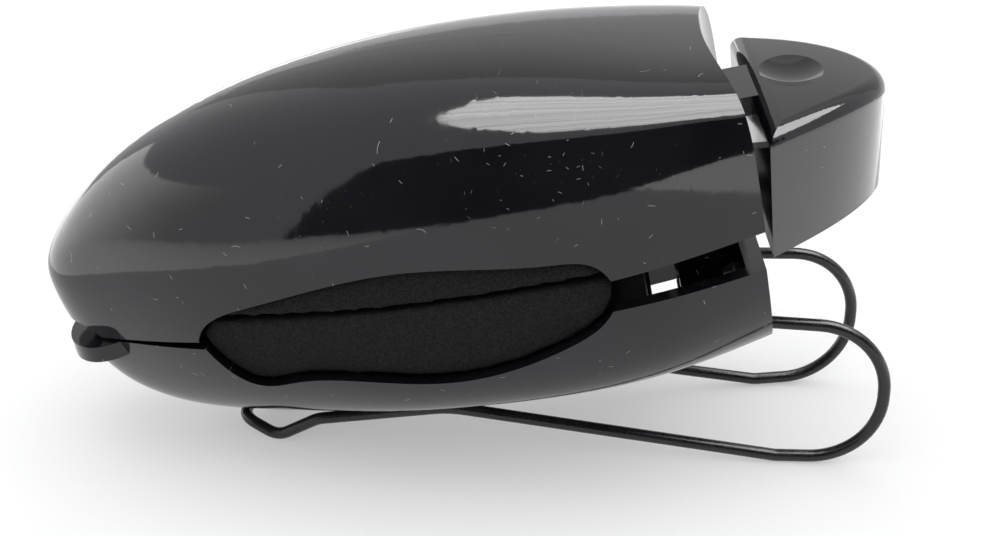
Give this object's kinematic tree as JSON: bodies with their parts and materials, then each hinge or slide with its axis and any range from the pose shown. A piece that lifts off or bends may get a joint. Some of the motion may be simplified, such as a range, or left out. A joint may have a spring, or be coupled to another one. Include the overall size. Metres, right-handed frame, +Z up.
{
  "type": "sun visor glasses clip",
  "caption": "Egg-shaped spring clip with foam-lined jaws for a folded pair of glasses, a push button at its tail and a bent wire that slides over a car's sun visor.",
  "frame": {"origin": "centre of the bounding box in plan, on the level surface that the visor wire and the nose end of the clip stand on", "axes": "+X along the clip from its nose to the push button, +Y across the clip, +Z up; the housing is pitched 11 degrees nose down, as it lies on its wire"},
  "size_m": [0.0822, 0.0378, 0.0416],
  "materials": {
    "gloss_black_plastic": "gloss",
    "matte_black_plastic": "matte",
    "screw_steel": "satin",
    "black_foam": "matte",
    "adhesive_sheet": "matte",
    "black_coated_wire": "satin",
    "pin_steel": "satin",
    "spring_steel": "satin"
  },
  "bodies": {
    "base": {"lower_shell": "gloss_black_plastic", "lower_tray": "matte_black_plastic", "tray_screws": "screw_steel", "wire_clamp": "matte_black_plastic", "clamp_screw": "screw_steel", "lower_pad": "black_foam", "lower_pad_tape": "adhesive_sheet", "visor_wire": "black_coated_wire", "pivot_pin": "pin_steel", "torsion_spring": "spring_steel"},
    "upper_jaw": {"upper_shell": "gloss_black_plastic", "jaw_frame": "matte_black_plastic", "frame_screws": "screw_steel", "button_screw": "screw_steel", "press_button": "gloss_black_plastic", "upper_pad": "black_foam", "upper_pad_tape": "adhesive_sheet"}
  },
  "joints": [
    {"name": "jaw_pivot", "type": "hinge", "parent": "base", "child": "upper_jaw", "pos_m": [0.02147, 0, 0.02512], "axis": [0, 1, 0], "range_deg": [0, 15], "stiffness_Nm_per_rad": 0.1, "springref_deg": -28.65, "deforming": ["torsion_spring"]}
  ]
}
